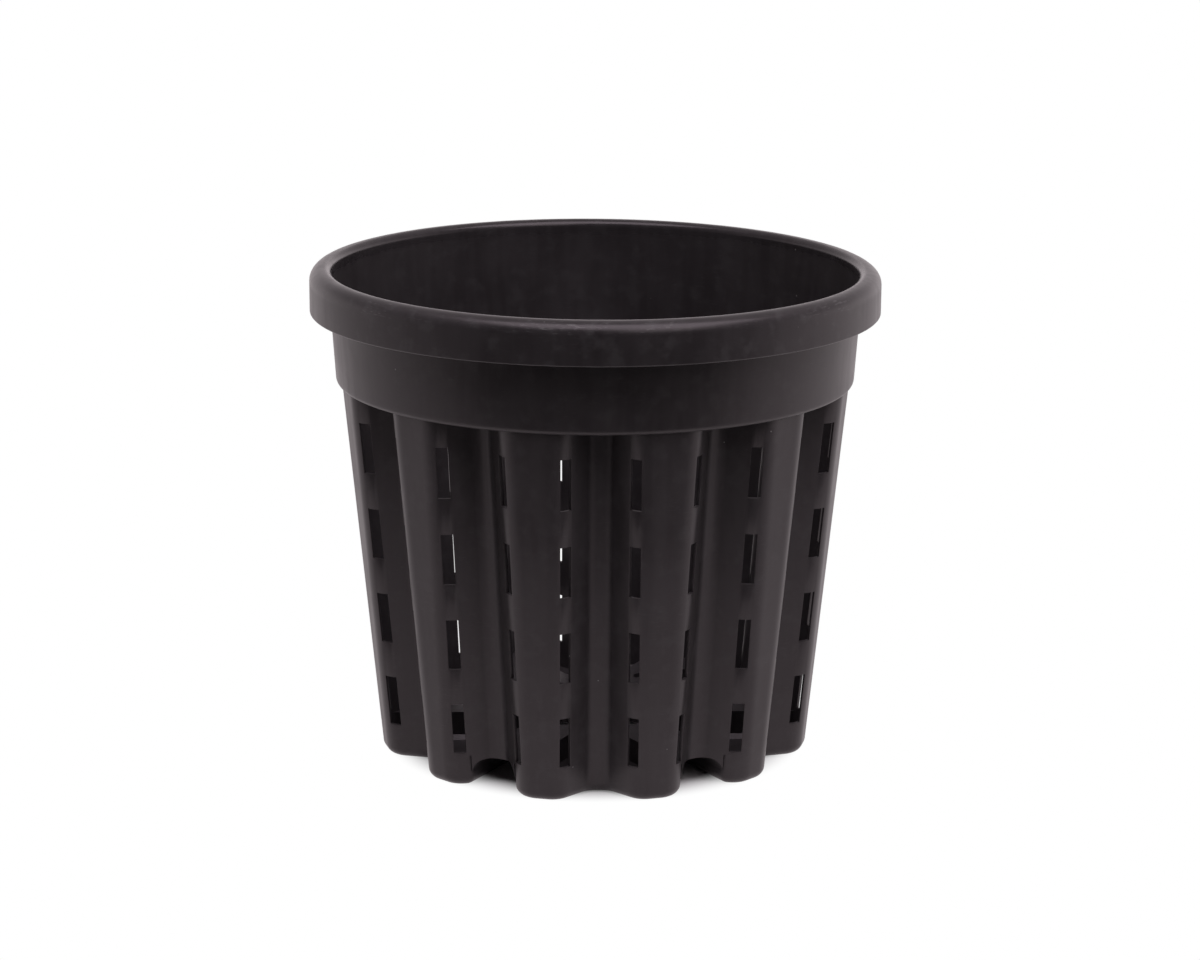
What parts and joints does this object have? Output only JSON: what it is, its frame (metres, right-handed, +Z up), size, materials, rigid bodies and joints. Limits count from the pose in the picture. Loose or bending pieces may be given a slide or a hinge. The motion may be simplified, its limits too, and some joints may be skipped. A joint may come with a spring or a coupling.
{
  "type": "orchid pot",
  "caption": "Round tapered plant pot with a turned-down rim, a plain collar, a fluted wall with upright air slots on the lobes, and arched feet under a raised floor.",
  "frame": {"origin": "middle of the ground plane under the six feet, on the pot's axis", "axes": "+Z up the pot's axis to the mouth; -Y towards the front, where a groove runs down between two lobes of one foot"},
  "size_m": [0.251, 0.251, 0.2164],
  "materials": {
    "pot_plastic": "black moulded polypropylene with a soft sheen"
  },
  "bodies": {
    "root": {"rim_lip": "pot_plastic", "collar_band": "pot_plastic", "shoulder_ledge": "pot_plastic", "flute_01": "pot_plastic", "flute_02": "pot_plastic", "flute_03": "pot_plastic", "flute_04": "pot_plastic", "flute_05": "pot_plastic", "flute_06": "pot_plastic", "flute_07": "pot_plastic", "flute_08": "pot_plastic", "flute_09": "pot_plastic", "flute_10": "pot_plastic", "flute_11": "pot_plastic", "flute_12": "pot_plastic", "foot_1": "pot_plastic", "foot_2": "pot_plastic", "foot_3": "pot_plastic", "foot_4": "pot_plastic", "foot_5": "pot_plastic", "foot_6": "pot_plastic", "floor_plate": "pot_plastic"}
  },
  "joints": []
}
